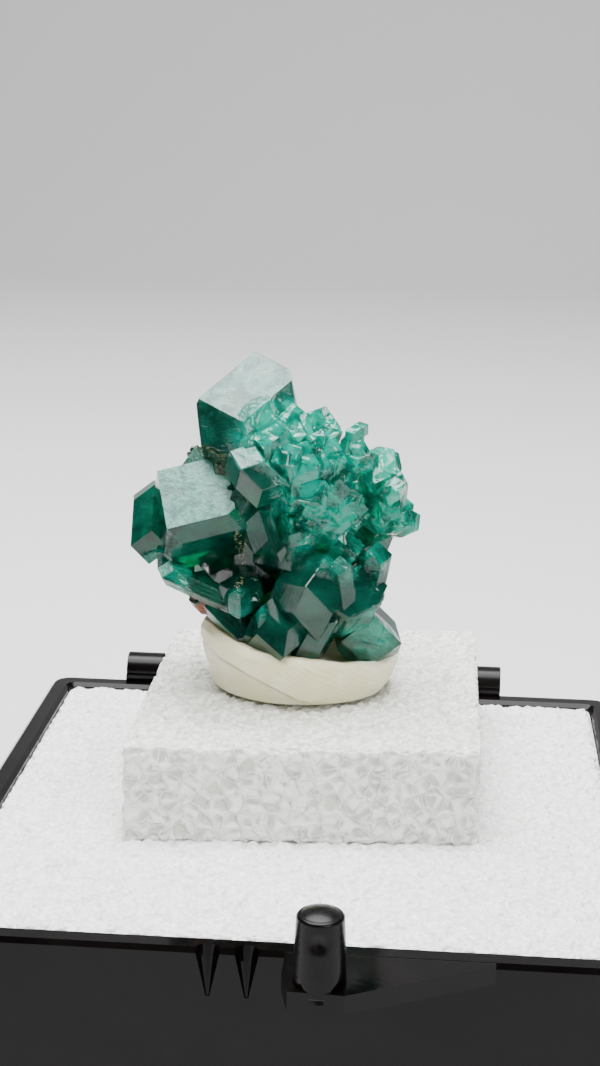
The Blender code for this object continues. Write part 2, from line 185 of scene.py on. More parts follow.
BACK_GROUP = (
    Crystal((-6.0, 8.4, 15.2), 60, 110, 20, 1.9, 6.0, {}, 0.4),
    Crystal((-1.6, 9.8, 13.2), 78, 92, 50, 2.1, 7.0, {}, 0.3),
    Crystal((2.2, 8.6, 15.6), 55, 60, 10, 1.6, 6.0),
    Crystal((3.6, 7.6, 11.2), 85, 35, 75, 1.5, 5.0),
    Crystal((-7.8, 6.6, 10.8), 95, 155, 30, 1.5, 5.0),
    Crystal((-4.4, 9.2, 9.2), 100, 115, 65, 1.4, 5.0),
    Crystal((0.6, 9.3, 8.8), 100, 75, 15, 1.5, 5.0),
    Crystal((-3.2, 8.2, 17.8), 35, 100, 85, 1.4, 6.0, {}, 0.4),
    Crystal((0.1, 7.0, 18.0), 25, 60, 35, 1.2, 5.0),
    Crystal((3.6, 5.6, 14.0), 70, 10, 55, 1.2, 4.0),
    Crystal((-2.0, 7.6, 6.2), 140, 90, 25, 1.3, 5.0),
    Crystal((-7.6, 5.0, 14.2), 65, 175, 70, 1.3, 5.0),
)
MIDDLE_GROUP = (
    Crystal((-2.2, 5.2, 17.0), 5, 0, 10, 3.3, 10.5),
    Crystal((2.2, 5.4, 14.2), 20, 0, 40, 2.3, 8.0),
    Crystal((-5.6, 5.0, 14.5), 25, 180, 40, 2.4, 8.0),
)
# Sowings of small crystals: how many, two corners of the box that they grow in, the range of their sides, how
# many sides a tip stands out of its face, and how many of the large bare crystals they keep off (None is all)
SOWINGS = (
    (24, (-2.8, -3.0, RIM + 11.8), (3.7, 3.2, RIM + 18.2), (0.35, 0.7), (0.0, 0.25), 3),
    (14, (-5.6, -3.0, RIM + 9.6), (3.6, 3.2, RIM + 13.5), (0.2, 0.36), (0.0, 0.25), None),
    (34, (-7.2, 0.6, RIM + 14.8), (-2.4, 4.2, RIM + 17.4), (0.12, 0.24), (0.1, 0.4), 2),
)

# Lights: name, place, what it faces, size and watts
LIGHTS = (
    ("overhead box", (-20, 2, 190), (0, 0, 15), (178, 178), 1.55),
    ("front fill", (170, -210, 150), (0, 0, 15), (120, 120), 0.48),
    ("sweep light", (0, 60, 420), (0, 320, 120), (300, 120), 1.4),
)


# number fields

def scatter(cell, seed):
    """Number from 0 to 1 for each whole-number cell: its three coordinates and the seed are multiplied by
    large odd numbers, mixed by shifts and cut to 24 bits."""
    x, y, z = (cell[..., axis].astype(np.int64).astype(np.uint64) for axis in range(3))
    mixed = (x * np.uint64(73856093)) ^ (y * np.uint64(19349663)) ^ (z * np.uint64(83492791))
    mixed = mixed + np.uint64(seed * 2654435761 % 2**32)
    mixed = (mixed ^ (mixed >> np.uint64(15))) * np.uint64(2246822519)
    mixed = (mixed ^ (mixed >> np.uint64(13))) * np.uint64(3266489917)
    return ((mixed ^ (mixed >> np.uint64(16))) & np.uint64(0xFFFFFF)).astype(float) / 0xFFFFFF


def soft_noise(points, size, seed):
    """Smooth noise from -1 to 1: the cell's eight corner numbers blended by 3t^2 - 2t^3 along each axis."""
    place = points / size
    cell = np.floor(place)
    part = place - cell
    part = part * part * (3 - 2 * part)
    total = 0.0
    for corner in itertools.product((0, 1), repeat=3):
        weight = np.prod(np.where(corner, part, 1 - part), axis=-1)
        total = total + weight * scatter(cell + corner, seed)
    return 2 * total - 1


def bubbles(points, size, seed):
    """Distances to the nearest and second nearest of one random seed point in each cell, in units of size."""
    place = points / size
    cell = np.floor(place)
    nearest = np.full(place.shape[:-1], 9.0)
    second = nearest.copy()
    for step in itertools.product((-1, 0, 1), repeat=3):
        around = cell + step
        jitter = np.stack([scatter(around, seed + axis) for axis in range(3)], axis=-1)
        distance = np.linalg.norm(around + jitter - place, axis=-1)
        second = np.minimum(second, np.maximum(nearest, distance))
        nearest = np.minimum(nearest, distance)
    return nearest, second


def ramp(value, low, high):
    """0 below low, 1 above high and 3t^2 - 2t^3 between."""
    t = np.clip((value - low) / (high - low), 0, 1)
    return t * t * (3 - 2 * t)


# meshes

def mesh_object(name, corners, faces, finish):
    """A smooth shaded object at the origin, from corners in millimetres and faces that list their corners."""
    mesh = bpy.data.meshes.new(name)
    mesh.from_pydata(np.asarray(corners) * MM, [], faces if isinstance(faces, list) else faces.tolist())
    mesh.update()
    mesh.shade_smooth()
    mesh.materials.append(finish)
    made = bpy.data.objects.new(name, mesh)
    bpy.context.scene.collection.objects.link(made)
    return made


def values_of(items, name, width=1, kind=float):
    """One number or vector for each item in one of a mesh's lists, as an array."""
    values = np.zeros(len(items) * width, kind)
    items.foreach_get(name, values)
    return values.reshape(-1, width) if width > 1 else values


def float_attribute(mesh, name, values):
    """One number for each corner, for a material to read by name."""
    layer = mesh.attributes.new(name, "FLOAT", "POINT")
    layer.data.foreach_set("value", np.asarray(values, np.float32))


def revolved(name, points, finish):
    """A closed surface on a grid of points: a row for each spoke of the round and a column for each place
    along the profile. The first and the last column are the poles, and quads join the rest."""
    turns, count = len(points), points.shape[1] - 2
    corners = np.concatenate([points[:, 1:-1].reshape(-1, 3), points[:1, 0], points[:1, -1]])
    spoke = np.arange(turns)[:, None] * count
    after = np.roll(spoke, -1, axis=0)
    step, last = np.arange(count - 1), count - 1
    quads = np.stack([spoke + step, after + step, after + step + 1, spoke + step + 1], axis=-1)
    faces = quads.reshape(-1, 4).tolist()
    faces += np.column_stack([after, spoke, np.full(turns, turns * count)]).tolist()
    faces += np.column_stack([spoke + last, after + last, np.full(turns, turns * count + 1)]).tolist()
    return mesh_object(name, corners, faces, finish)


def latch_knob(name, finish):
    """The latch knob as a surface of revolution: a cone, a shoulder that is a quarter circle, and a dome that
    falls with the square of the radius. A round dent and a faint scar below it are pressed into the front,
    each exp of minus the squared distance over its width squared."""
    turns, side_rows, dome_rows = 128, 44, 14
    shoulder = np.linspace(0, np.pi / 2, 9)[1:]
    radii = np.concatenate([
        [0.0], np.linspace(KNOB_FOOT_RADIUS, KNOB_RADIUS, side_rows),
        KNOB_RADIUS - KNOB_SHOULDER * (1 - np.cos(shoulder)),
        np.linspace(KNOB_RADIUS - KNOB_SHOULDER, 0.0, dome_rows)[1:]])
    heights = np.concatenate([
        [KNOB_ROOT], np.linspace(KNOB_ROOT, KNOB_SIDE, side_rows),
        KNOB_SIDE + KNOB_SHOULDER * np.sin(shoulder),
        KNOB_SIDE + KNOB_SHOULDER + KNOB_DOME * (1 - np.linspace(1, 0, dome_rows)[1:] ** 2)])
    angle = np.linspace(0, 2 * np.pi, turns, endpoint=False)[:, None]
    front = (angle + np.pi / 2 + np.pi) % (2 * np.pi) - np.pi
    aside = (front * KNOB_RADIUS) ** 2
    dent = np.exp(-(aside + (heights - DENT_HEIGHT) ** 2) / DENT_WIDTH ** 2)
    scar = np.exp(-(aside / SCAR_WIDTH_SQUARED + ((heights - SCAR_HEIGHT) / SCAR_REACH) ** 2))
    on_side = radii > 0.8 * KNOB_RADIUS
    reach = radii - (DENT_DEPTH * dent + SCAR_DEPTH * scar) * on_side
    points = np.stack([KNOB_CENTRE[0] + reach * np.cos(angle), KNOB_CENTRE[1] + reach * np.sin(angle),
                       RIM + heights + 0 * angle], axis=-1)
    return revolved(name, points, finish)


def skin_lattice(counts):
    """Whole-number places on the skin of a box lattice and its quads, each wound to face out."""
    size = np.array(counts)
    quads = []
    for axis in range(3):
        first, second = (axis + 1) % 3, (axis + 2) % 3
        a, b = np.meshgrid(np.arange(size[first] + 1), np.arange(size[second] + 1), indexing="ij")
        for side in (0, size[axis]):
            grid = np.zeros(a.shape + (3,), int)
            grid[..., axis], grid[..., first], grid[..., second] = side, a, b
            key = (grid[..., 0] * (size[1] + 1) + grid[..., 1]) * (size[2] + 1) + grid[..., 2]
            quad = np.stack([key[:-1, :-1], key[1:, :-1], key[1:, 1:], key[:-1, 1:]], axis=-1).reshape(-1, 4)
            quads.append(quad if side else quad[:, ::-1])
    quads = np.concatenate(quads)
    keys, quads = np.unique(quads, return_inverse=True)
    quads = quads.reshape(-1, 4)
    places = np.stack([keys // ((size[2] + 1) * (size[1] + 1)), keys // (size[2] + 1) % (size[1] + 1),
                       keys % (size[2] + 1)], axis=-1)
    return places, quads


def foam_solid(name, low, high, heights, spacing, edge, relief, finish):
    """A foam box: lattice points on a box rounded by edge (a point outside the inner box is put at edge from
    its nearest inner point), carried between the low and high outlines by bilinear blending, and sunk along
    that same outward direction by the relief."""
    half = np.array([high[1][0] - high[0][0], high[2][1] - high[1][1], heights[1] - heights[0]]) / 2
    counts = np.maximum(np.round(2 * half / spacing).astype(int), 3)
    places, quads = skin_lattice(counts)
    boxed = (2 * places / counts - 1) * half
    inner = np.clip(boxed, -(half - edge), half - edge)
    outward = boxed - inner
    outward /= np.linalg.norm(outward, axis=1)[:, None]
    rounded = inner + outward * edge
    sunk, grain = relief(rounded, outward)
    rounded = rounded - outward * sunk[:, None]
    u, v, w = ((rounded / half + 1) / 2).T[..., None]
    low, high = np.array(low), np.array(high)

    def blend(corner):
        return ((1 - u) * (1 - v) * corner[0] + u * (1 - v) * corner[1]
                + u * v * corner[2] + (1 - u) * v * corner[3])

    flat = (1 - w) * blend(low) + w * blend(high)
    corners = np.column_stack([flat, heights[0] + w * (heights[1] - heights[0])])
    made = mesh_object(name, corners, quads, finish)
    # The relief's second value is low in hollows and gaps. The material darkens those places as painted
    # shade.
    float_attribute(made.data, "grain", grain)
    return made


def block_relief(points, outward):
    """Cut cells about 0.8 mm wide on the sides, with hollows between thin walls, and torn grains 0.34 mm wide
    on top. A cell's depth is a ramp of the second less the nearest seed distance, and the depth between torn
    grains is a ramp of the nearest. The two are blended by how far the face points up. The second value
    returned is 1 on walls and grains and 0 in the sunk hollows and gaps, which the material paints darker as
    shade."""
    warped = points + 0.18 * np.stack([soft_noise(points, 0.6, seed) for seed in (3, 4, 5)], axis=-1)
    near, after = bubbles(warped * (1.0, 1.0, 1.15), 0.82, 11)
    cell = ramp(after - near, 0.02, 0.42)
    torn = ramp(bubbles(warped, 0.34, 21)[0], 0.25, 0.75)
    up = ramp(outward[:, 2], 0.45, 0.85)
    lumps = soft_noise(points, 1.3, 8)
    side_depth = 0.12 * cell + 0.03 * torn
    top_depth = 0.03 + 0.13 * torn + 0.05 * cell + 0.04 * lumps
    depth = side_depth * (1 - up) + top_depth * up
    grain = (1 - cell) * (1 - up) + (1 - torn) * up
    return np.maximum(depth, 0.0), grain


def bed_relief(points, outward):
    """Torn grains 0.34 mm wide over shallow cells and low lumps, on the top alone. The depths are ramps of
    seed distances as on the block."""
    near, after = bubbles(points, 0.95, 41)
    torn = ramp(bubbles(points, 0.34, 31)[0], 0.2, 0.8)
    depth = 0.02 + 0.14 * torn + 0.07 * ramp(after - near, 0.02, 0.4) + 0.05 * soft_noise(points, 1.7, 9)
    # The second value is 1 on the grains and 0 in the gaps between them, where the material paints shade.
    return np.maximum(depth, 0.0) * ramp(outward[:, 2], 0.0, 0.6), 1 - torn


def putty(name, finish):
    """A ring of putty round the crystals' foot. Its radius is an ellipse times a bulging profile, and its
    height rises to a lip interpolated round the ring. Pushes along the radius add one long fold across the
    front, fine sine ridges on the right, and lumps."""
    turns, rows = 400, 96
    angle = np.linspace(0, 2 * np.pi, turns, endpoint=False)[:, None]
    along = np.linspace(0, 1, rows)[None, :]
    degrees = (np.degrees(angle) + 180) % 360 - 180
    lip = np.interp(degrees, LIP_ANGLES, LIP_HEIGHTS, period=360) + RIM
    spread = np.interp(along, WALL_SHARES, WALL_SPREAD)
    height = PUTTY_FOOT + np.interp(along, WALL_SHARES, WALL_RISE) * (lip - PUTTY_FOOT)
    inside = ramp(along, 0.74, 0.86)
    height = height * (1 - inside) + PUTTY_DISH * inside
    wall = ramp(along, 0.14, 0.24) * (1 - ramp(along, 0.66, 0.78))
    above = height - (PUTTY_FOOT + np.interp(degrees, FOLD_ANGLES, FOLD_HEIGHTS))
    folded = ramp(degrees, -175, -160) * (1 - ramp(degrees, -82, -70))
    fold = folded * (FOLD_DEPTH * ramp(above, -0.02, 0.14) - FOLD_DEPTH * np.exp(-(above / 0.07) ** 2))
    x = PUTTY_CENTRE[0] + PUTTY_RADII[0] * spread * np.cos(angle)
    y = PUTTY_CENTRE[1] + PUTTY_RADII[1] * spread * np.sin(angle)
    points = np.stack([x + 0 * height, y + 0 * height, height + 0 * angle], axis=-1)
    ridged = ramp(degrees, -105, -80) * (1 - ramp(degrees, -35, -10))
    slant = 0.62 * points[..., 0] + 1.0 * points[..., 2] + 0.12 * soft_noise(points, 1.0, 3)
    ridges = RIDGE_HEIGHT * ridged * np.sin(2 * np.pi * slant / RIDGE_SPACING)
    lumps = 0.24 * soft_noise(points, 2.8, 5) + 0.05 * soft_noise(points, 0.8, 6)
    lumps = lumps + 0.012 * soft_noise(points, 0.25, 7)
    push = wall * (fold + ridges + lumps - 0.06)
    points[..., 0] += push * np.cos(angle)
    points[..., 1] += push * np.sin(angle)
    points[..., 2] += 0.05 * ramp(along, 0.55, 0.66) * (1 - inside) * soft_noise(points, 0.9, 12)
    return revolved(name, points, finish)


# crystals

def turned(axis, degrees):
    """Rotation matrix about one world axis."""
    return np.array(Matrix.Rotation(np.radians(degrees), 3, axis))


def crystal_axes(crystal):
    """The crystal's own axes as columns: a roll by turn, a tip by lean, then a swing to the heading."""
    return turned("Z", crystal.heading) @ turned("Y", crystal.lean) @ turned("Z", crystal.turn)


def crystal_planes(crystal):
    """Outward normals and distances: prism faces stand round the long axis at half the hexagon's width, rhomb
    faces lean at their angle to it through each tip."""
    axes = crystal_axes(crystal)
    tip = np.array(crystal.tip) + (0, 0, RIM)
    foot = tip - axes @ (0, 0, crystal.length)
    half_width = crystal.side * np.cos(np.radians(30))
    round_axis = np.radians(FIRST_PRISM_FACE + 60 * np.arange(6))
    prism = np.stack([np.cos(round_axis), np.sin(round_axis), 0 * round_axis], axis=-1) @ axes.T
    prism_at = prism @ tip + half_width * np.array([crystal.faces.get(number, 1.0) for number in range(6)])
    slope = np.radians(RHOMB_TO_AXIS)
    thirds = np.radians(120 * np.arange(3))
    rhomb = np.stack([np.sin(slope) * np.cos(thirds), np.sin(slope) * np.sin(thirds),
                      np.full(3, np.cos(slope))], axis=-1)
    upper, lower = rhomb @ axes.T, -rhomb @ axes.T
    trims = np.array(crystal.trims, float).reshape(-1, 4)
    return (np.concatenate([prism, upper, lower, trims[:, :3]]),
            np.concatenate([prism_at, upper @ tip, lower @ foot, trims[:, 3] + RIM * trims[:, 2]]))


def solid_inside(normals, distances):
    """Corners and faces of the solid inside all planes n.x = d. Every three planes meet in one point, by the
    triple product, the points inside all planes are the corners, and a face lists its corners by angle."""
    trios = np.array(list(itertools.combinations(range(len(normals)), 3)))
    a, b, c = (normals[trios[:, part]] for part in range(3))
    da, db, dc = (distances[trios[:, part]][:, None] for part in range(3))
    volume = np.einsum("ij,ij->i", a, np.cross(b, c))
    met = np.abs(volume) > 1e-5
    points = (da * np.cross(b, c) + db * np.cross(c, a) + dc * np.cross(a, b))[met] / volume[met][:, None]
    points = points[(points @ normals.T <= distances + 1e-6).all(axis=1)]
    corners = np.unique(np.round(points, 4), axis=0)
    faces = []
    for normal, distance in zip(normals, distances):
        on = np.flatnonzero(np.abs(corners @ normal - distance) < 4e-4)
        if len(on) < 3:
            faces.append(None)
            continue
        arm = corners[on] - corners[on].mean(axis=0)
        side = arm[0] / np.linalg.norm(arm[0])
        faces.append(on[np.argsort(np.arctan2(arm @ np.cross(normal, side), arm @ side))].tolist())
    return corners, faces


def closed(corners, faces):
    """True where corners less edges plus faces is two and each edge has two faces."""
    shown = [face for face in faces if face]
    edges = [frozenset((face[at - 1], face[at])) for face in shown for at in range(len(face))]
    return len(edges) == 2 * len(set(edges)) and len(corners) - len(set(edges)) + len(shown) == 2


def worn(normals, distances, width, steps, rough):
    """Planes with a narrow one added along each edge and, on big faces, shallow growth steps: planes tilted
    one to three degrees that take off one side of a face."""
    corners, faces = solid_inside(normals, distances)
    extra, extra_at = [], []
    for one, two in itertools.combinations(range(len(normals)), 2):
        if not faces[one] or not faces[two]:
            continue
        shared = set(faces[one]) & set(faces[two])
        if len(shared) < 2:
            continue
        between = normals[one] + normals[two]
        between /= np.linalg.norm(between)
        opening = np.arccos(np.clip(normals[one] @ normals[two], -1, 1))
        cut = width * rough.uniform(0.6, 1.3) * np.tan(opening / 2) / 2
        extra.append(between)
        extra_at.append(between @ corners[list(shared)[0]] - cut)
    for face, normal in zip(faces[:HABIT_FACES], normals[:HABIT_FACES]):
        if not face or steps <= 0:
            continue
        middle = corners[face].mean(axis=0)
        reach = np.linalg.norm(corners[face] - middle, axis=1).max()
        for _ in range(steps):
            lean = np.cross(normal, rough.normal(size=3))
            lean /= np.linalg.norm(lean)
            tilt = np.radians(rough.uniform(1.2, 3.2))
            stepped = normal * np.cos(tilt) + lean * np.sin(tilt)
            extra.append(stepped)
            extra_at.append(stepped @ (middle + lean * reach * rough.uniform(0.1, 0.7)))
    if not extra:
        return normals, distances
    return np.concatenate([normals, extra]), np.concatenate([distances, extra_at])


def crystal_solid(crystal, rough):
    """The closed solid inside a crystal's planes, worn by up to three random tries or left sharp."""
    normals, distances = crystal_planes(crystal)
    width = FINE_EDGE if crystal.side < 1.0 else BROAD_EDGE
    steps = sum(crystal.side > side for side in STEPPED_SIDES)
    for tries in range(4):
        planes = worn(normals, distances, width, steps, rough) if tries < 3 else (normals, distances)
        corners, faces = solid_inside(*planes)
        if closed(corners, faces):
            return planes, corners, faces
    return planes, corners, faces


def host_rock(rough):
    """The crumb of host rock: what is left inside planes that touch an egg shape at random places."""
    normals = rough.normal(size=(MATRIX_PLANES, 3))
    normals /= np.linalg.norm(normals, axis=1)[:, None]
    middle = np.array(MATRIX_CENTRE) + (0, 0, RIM)
    for _ in range(20):
        reach = np.linalg.norm(normals * MATRIX_RADII, axis=1) * rough.uniform(0.92, 1.06, MATRIX_PLANES)
        distances = normals @ middle + reach
        corners, faces = solid_inside(normals, distances)
        if closed(corners, faces):
            break
    return (normals, distances), corners, faces


def small_crystals(mesh, count, rough, low, high, sides, stand, clean):
    """Small crystals that grew on the big ones: tips stand out of random faces of the CAD cluster, picked by
    area inside a box, and their long axes are tipped at random from the face's own direction. The faces of
    the crystals in clean stay bare."""
    middle = values_of(mesh.polygons, "center", 3) / MM
    normal = values_of(mesh.polygons, "normal", 3)
    wanted = ((middle > low) & (middle < high)).all(axis=1) & (normal[:, 1] < 0.35)
    for crystal in clean:
        normals, distances = crystal_planes(crystal)
        on_face = (np.abs(middle @ normals.T - distances) < 0.02) & (normal @ normals.T > 0.999)
        wanted &= ~on_face.any(axis=1)
    chance = np.where(wanted, values_of(mesh.polygons, "area"), 0.0)
    made = []
    for pick in rough.choice(len(chance), count, p=chance / chance.sum()):
        side = rough.uniform(*sides)
        aim = normal[pick] + rough.normal(size=3) * 0.55
        aim /= np.linalg.norm(aim)
        triangle = np.array([mesh.vertices[number].co for number in mesh.polygons[pick].vertices[:3]]) / MM
        weights = rough.dirichlet((1, 1, 1))
        tip = weights @ triangle + aim * side * rough.uniform(*stand) - (0, 0, RIM)
        lean = np.degrees(np.arccos(aim[2]))
        heading = np.degrees(np.arctan2(aim[1], aim[0]))
        made.append(Crystal(tuple(tip), lean, heading, rough.uniform(0, 120), side, side * 3.2))
    return made


def grown_cluster(name, cad_mesh, finish):
    """All crystals joined in one closed surface, each face marked with what it is."""
    rough = np.random.default_rng(7)
    grown = list(LEFT_GROUP + LOWER_GROUP + RIGHT_GROUP + BACK_GROUP + MIDDLE_GROUP)
    clean = [crystal for crystal in grown if crystal.side > 1.4 or crystal.frost_and_sheen > 0.4]
    for count, low, high, sides, stand, bare in SOWINGS:
        grown += small_crystals(cad_mesh, count, rough, low, high, sides, stand, clean[:bare])
    pieces, planes, owners, kinds = [], [], [], []
    holder = bpy.data.collections.new("growing")
    bpy.context.scene.collection.children.link(holder)
    solids = [crystal_solid(crystal, rough) for crystal in grown] + [host_rock(rough)]
    grown.append(Crystal(MATRIX_CENTRE, 0, 0, 0, 1.0, 1.0))
    for number, ((normals, distances), corners, faces) in enumerate(solids):
        mesh = bpy.data.meshes.new(f"{name} {number}")
        mesh.from_pydata(corners, [], [face for face in faces if face])
        piece = bpy.data.objects.new(mesh.name, mesh)
        pieces.append(piece)
        planes.append(np.column_stack([normals, distances]))
        owners.append(np.full(len(normals), number))
        kind = np.full(len(normals), WORN_EDGE)
        kind[:6], kind[6:HABIT_FACES] = PRISM_FACE, RHOMB_FACE
        kind[HABIT_FACES:HABIT_FACES + len(grown[number].trims)] = PRISM_FACE
        kinds.append(kind)
        (holder if number else bpy.context.scene.collection).objects.link(piece)
    planes, owners, kinds = np.concatenate(planes), np.concatenate(owners), np.concatenate(kinds)
    join = pieces[0].modifiers.new("Grown together", "BOOLEAN")
    join.operation, join.solver = "UNION", "MANIFOLD"
    join.operand_type, join.collection = "COLLECTION", holder
    bpy.context.view_layer.update()
    mesh = bpy.data.meshes.new_from_object(pieces[0].evaluated_get(bpy.context.evaluated_depsgraph_get()))
    for piece in pieces:
        bpy.data.objects.remove(piece)
    bpy.data.collections.remove(holder)
    mark_faces(mesh, grown, planes, owners, kinds)
    mesh.transform(Matrix.Scale(MM, 4))
    mesh.name = name
    mesh.materials.clear()
    mesh.materials.append(finish)
    made = bpy.data.objects.new(name, mesh)
    bpy.context.scene.collection.objects.link(made)
    return made


def mark_faces(mesh, grown, planes, owners, kinds):
    """Finds the plane each face lies in, then writes the colour attribute "habit" (prism face, random tone of
    the crystal, etch share with painted sheen, edge) and the UV map "growth": millimetres along the long axis
    and across it."""
    middle = values_of(mesh.polygons, "center", 3)
    normal = values_of(mesh.polygons, "normal", 3)
    count = len(middle)
    chosen = np.zeros(count, int)
    for start in range(0, count, 2000):
        part = slice(start, start + 2000)
        off_plane = np.abs(middle[part] @ planes[:, :3].T - planes[:, 3])
        off_normal = 1 - normal[part] @ planes[:, :3].T
        chosen[part] = (off_plane + 4 * off_normal).argmin(axis=1)
    owner, kind = owners[chosen], kinds[chosen]
    tones = np.random.default_rng(3).uniform(0, 1, len(grown))
    frost_and_sheen_levels = np.array([crystal.frost_and_sheen for crystal in grown])
    long_axes = np.array([crystal_axes(crystal)[:, 2] for crystal in grown])
    is_prism = kind == PRISM_FACE
    # Painted sheen: faces that point up get more of the pale etched colour, as if lit by the overhead light,
    # and prism faces a quarter of it.
    frost_and_sheen = frost_and_sheen_levels[owner] * np.where(is_prism, 0.25, 1.0) * ramp(normal[:, 2], -0.1, 0.5)
    habit = np.column_stack([is_prism, tones[owner], frost_and_sheen, kind == WORN_EDGE]).astype(np.float32)
    face_of = np.repeat(np.arange(count), values_of(mesh.polygons, "loop_total", kind=int))
    corners = values_of(mesh.vertices, "co", 3)[values_of(mesh.loops, "vertex_index", kind=int)]
    along = long_axes[owner][face_of]
    along = along - normal[face_of] * np.einsum("ij,ij->i", along, normal[face_of])[:, None]
    along /= np.maximum(np.linalg.norm(along, axis=1), 1e-6)[:, None]
    across = np.cross(normal[face_of], along)
    shift = 17.3 * tones[owner][face_of]
    flat = np.column_stack([np.einsum("ij,ij->i", corners, along) + shift,
                            np.einsum("ij,ij->i", corners, across) + 3 * shift])
    layer = mesh.uv_layers.new(name="growth")
    layer.data.foreach_set("uv", flat.astype(np.float32).ravel())
    colour = mesh.color_attributes.new("habit", "FLOAT_COLOR", "CORNER")
    colour.data.foreach_set("color", habit[face_of].ravel())


# materials

class Nodes:
    """Short calls for building one node tree."""

    def __init__(self, tree):
        self.tree = tree

    def add(self, kind, values=None, **settings):
        node = self.tree.nodes.new(kind)
        for name, value in settings.items():
            setattr(node, name, value)
        for name, value in (values or {}).items():
            self.feed(node.inputs[name], value)
        return node

    def feed(self, socket, value):
        """Links another node's output, or sets a constant, on every channel where it is one number."""
        if isinstance(value, bpy.types.NodeSocket):
            self.tree.links.new(value, socket)
        elif hasattr(socket.default_value, "__len__") and not isinstance(value, (tuple, list)):
            socket.default_value = (value,) * len(socket.default_value)
        else:
            socket.default_value = value

    def maths(self, operation, one, two):
        return self.add("ShaderNodeMath", {0: one, 1: two}, operation=operation).outputs[0]

    def fit(self, value, low, high, out_low=0.0, out_high=1.0):
        return self.add("ShaderNodeMapRange", {"Value": value, "From Min": low, "From Max": high,
                                               "To Min": out_low, "To Max": out_high},
                        interpolation_type="SMOOTHSTEP").outputs["Result"]

    def mix(self, share, one, two):
        return self.add("ShaderNodeMix", {"Factor": share, 6: one, 7: two}, data_type="RGBA").outputs[2]

    def noise(self, place, scale, detail=3.0, roughness=0.55, distortion=0.0):
        values = {"Vector": place, "Scale": scale, "Detail": detail, "Roughness": roughness,
                  "Distortion": distortion}
        return self.add("ShaderNodeTexNoise", values).outputs["Fac"]

    def cells(self, place, scale, feature):
        return self.add("ShaderNodeTexVoronoi", {"Vector": place, "Scale": scale},
                        feature=feature).outputs["Distance"]

    def bent(self, place, scale, share):
        """The place, moved by a share of a noise's colour, so that cells lose their straight walls."""
        wobble = self.add("ShaderNodeTexNoise", {"Vector": place, "Scale": scale}).outputs["Color"]
        return self.add("ShaderNodeMix", {"Factor": share, 4: place, 5: wobble},
                        data_type="VECTOR").outputs[1]

    def bump(self, height, distance, strength, normal=None):
        values = {"Height": height, "Distance": distance, "Strength": strength}
        if normal:
            values["Normal"] = normal
        return self.add("ShaderNodeBump", values).outputs["Normal"]


def new_group(name, inputs, outputs):
    """A shader node group with its node helper and its two end nodes, from labels, kinds and first values."""
    tree = bpy.data.node_groups.new(name, "ShaderNodeTree")
    for label, kind, value in inputs:
        socket = tree.interface.new_socket(label, in_out="INPUT", socket_type=kind)
        socket.default_value = value
    for label, kind in outputs:
        tree.interface.new_socket(label, in_out="OUTPUT", socket_type=kind)
    nodes = Nodes(tree)
    return tree, nodes, nodes.add("NodeGroupInput"), nodes.add("NodeGroupOutput")


def zone_group():
    """Mask of an egg-shaped region with a ragged edge: 1 inside, 0 outside."""
    tree, n, given, out = new_group(
        "zone", [("Place", "NodeSocketVector", (0, 0, 0)), ("Centre", "NodeSocketVector", (0, 0, 0)),
                 ("Radii", "NodeSocketVector", (1, 1, 1)), ("Ragged", "NodeSocketFloat", 0.3)],
        [("Mask", "NodeSocketFloat")])
    centred = n.add("ShaderNodeVectorMath", {0: given.outputs["Place"], 1: given.outputs["Centre"]},
                    operation="SUBTRACT").outputs[0]
    scaled = n.add("ShaderNodeVectorMath", {0: centred, 1: given.outputs["Radii"]},
                   operation="DIVIDE").outputs[0]
    distance = n.add("ShaderNodeVectorMath", {0: scaled}, operation="LENGTH").outputs["Value"]
    ragged = n.maths("MULTIPLY", n.maths("SUBTRACT", n.noise(given.outputs["Place"], 1100, 4.0), 0.5),
                     given.outputs["Ragged"])
    mask = n.fit(n.maths("ADD", distance, ragged), 1.12, 0.82)
    n.feed(out.inputs["Mask"], mask)
    return tree


def new_material(name):
    """A material with its node helper, its Principled shader and its output."""
    made = bpy.data.materials.new(name)
    made.use_nodes = True
    tree = made.node_tree
    return made, Nodes(tree), tree.nodes["Principled BSDF"], tree.nodes["Material Output"]


